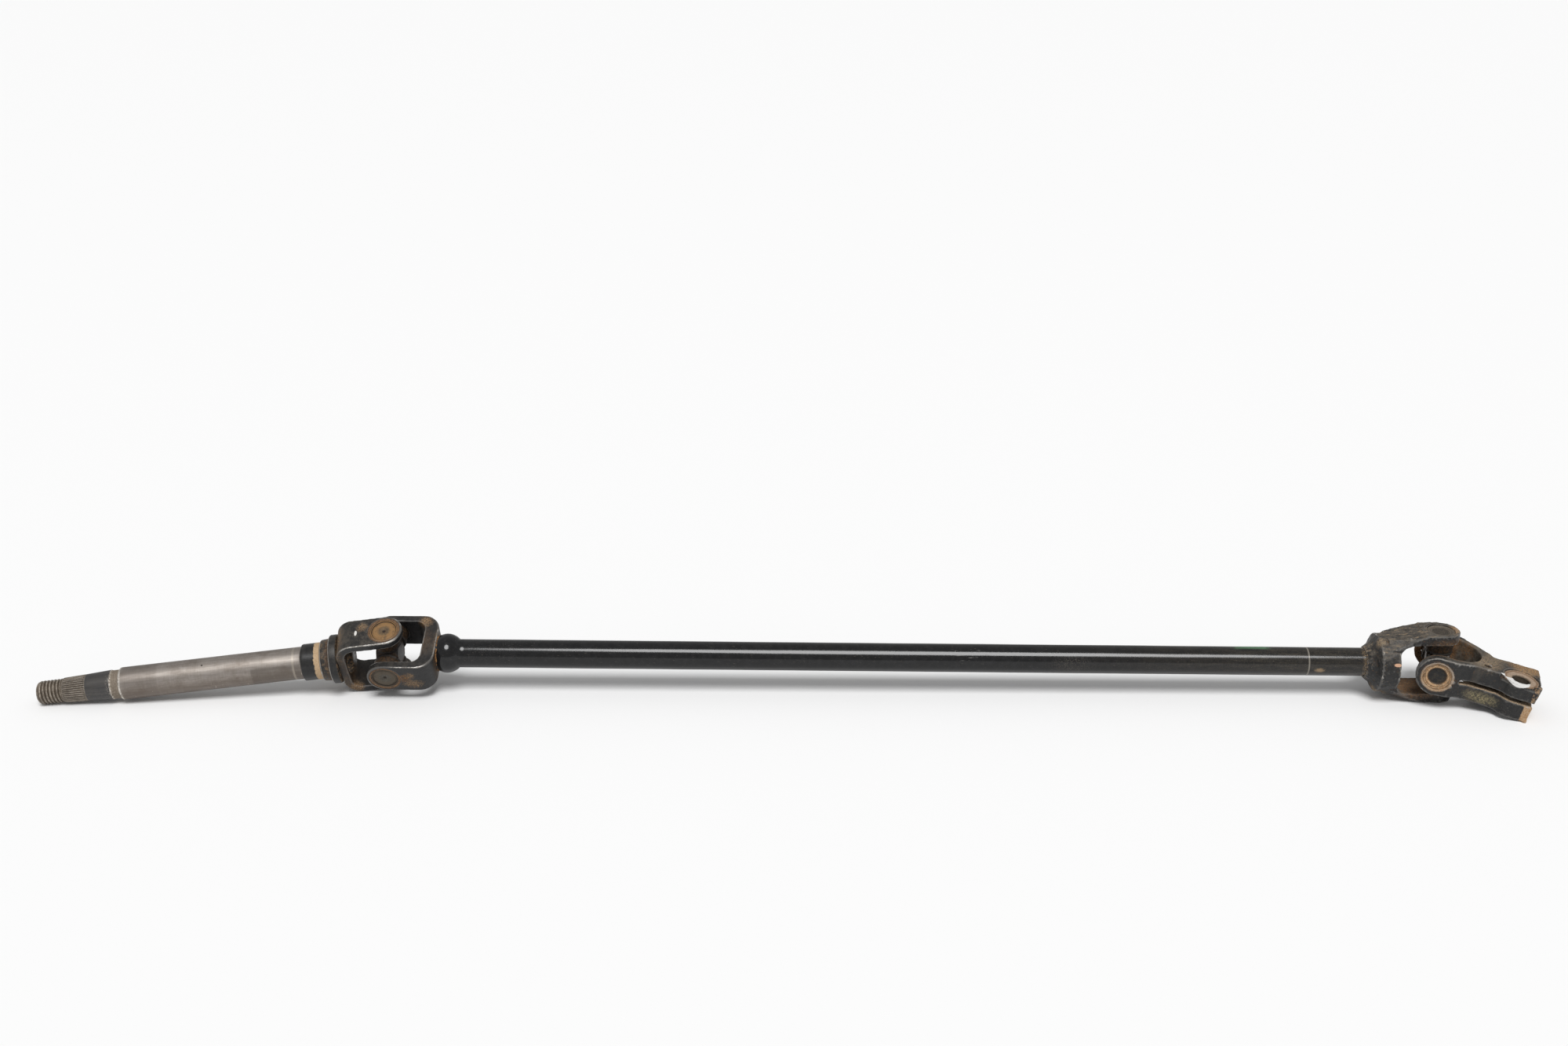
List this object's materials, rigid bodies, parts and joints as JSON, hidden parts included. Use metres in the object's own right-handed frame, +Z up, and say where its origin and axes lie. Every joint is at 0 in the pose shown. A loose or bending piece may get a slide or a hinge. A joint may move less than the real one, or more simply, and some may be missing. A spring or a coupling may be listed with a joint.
{
  "type": "steering stem shaft",
  "caption": "Steering shaft: splined and threaded column end, two cardan joints joined by a long tube, and a slotted clamp yoke at the far end.",
  "frame": {"origin": "centre of the footprint on the floor it lies on", "axes": "+Z up, +X from the threaded column end towards the clamp yoke, +Y away from the picture's camera"},
  "size_m": [0.891, 0.0614, 0.0478],
  "materials": {
    "ground_steel": "ground journal, dusty, black painted collar, blackened taper and worn thread",
    "strip_paint": "worn black paint with chipped edges and rust in the corners",
    "tube_paint": "gloss black paint, dusty towards the far end",
    "forged_paint": "worn black paint on a rough forging, brown dust and light rust",
    "cross_steel": "dark oily steel with rust",
    "cup_steel": "drawn steel, rusty outside",
    "needle_steel": "bright ground steel",
    "seal_rubber": "matt black rubber"
  },
  "bodies": {
    "intermediate_shaft": {"intermediate_tube": "tube_paint", "tube_yoke": "strip_paint", "lower_yoke": "forged_paint", "tube_yoke_cup_1": "cup_steel", "tube_yoke_seal_1": "seal_rubber", "tube_yoke_needles_1": "needle_steel", "tube_yoke_cup_2": "cup_steel", "tube_yoke_seal_2": "seal_rubber", "tube_yoke_needles_2": "needle_steel", "lower_yoke_cup_1": "cup_steel", "lower_yoke_seal_1": "seal_rubber", "lower_yoke_needles_1": "needle_steel", "lower_yoke_cup_2": "cup_steel", "lower_yoke_seal_2": "seal_rubber", "lower_yoke_needles_2": "needle_steel"},
    "upper_cross": {"upper_cross": "cross_steel"},
    "column": {"column_shaft": "ground_steel", "upper_yoke": "strip_paint", "upper_yoke_cup_1": "cup_steel", "upper_yoke_seal_1": "seal_rubber", "upper_yoke_needles_1": "needle_steel", "upper_yoke_cup_2": "cup_steel", "upper_yoke_seal_2": "seal_rubber", "upper_yoke_needles_2": "needle_steel"},
    "lower_cross": {"lower_cross": "cross_steel"},
    "clamp": {"clamp_yoke": "forged_paint", "clamp_yoke_cup_1": "cup_steel", "clamp_yoke_seal_1": "seal_rubber", "clamp_yoke_needles_1": "needle_steel", "clamp_yoke_cup_2": "cup_steel", "clamp_yoke_seal_2": "seal_rubber", "clamp_yoke_needles_2": "needle_steel"}
  },
  "joints": [
    {"name": "tube_yoke_hinge", "type": "hinge", "parent": "intermediate_shaft", "child": "upper_cross", "pos_m": [-0.23816, 0.0069, 0.0247], "axis": [-0.002, -0.91, -0.4147], "range_deg": [-30.36, 25.64]},
    {"name": "upper_yoke_hinge", "type": "hinge", "parent": "upper_cross", "child": "column", "pos_m": [-0.23816, 0.0069, 0.0247], "axis": [-0.0367, -0.4143, 0.9094], "range_deg": [-35.43, 20.57]},
    {"name": "lower_yoke_hinge", "type": "hinge", "parent": "intermediate_shaft", "child": "lower_cross", "pos_m": [0.38883, 0.0069, 0.02165], "axis": [0.0049, 0, 1], "range_deg": [-11.02, 44.98]},
    {"name": "clamp_yoke_hinge", "type": "hinge", "parent": "lower_cross", "child": "clamp", "pos_m": [0.38883, 0.0069, 0.02165], "axis": [0.2921, 0.9564, -0.0014], "range_deg": [-38.88, 17.12]}
  ]
}
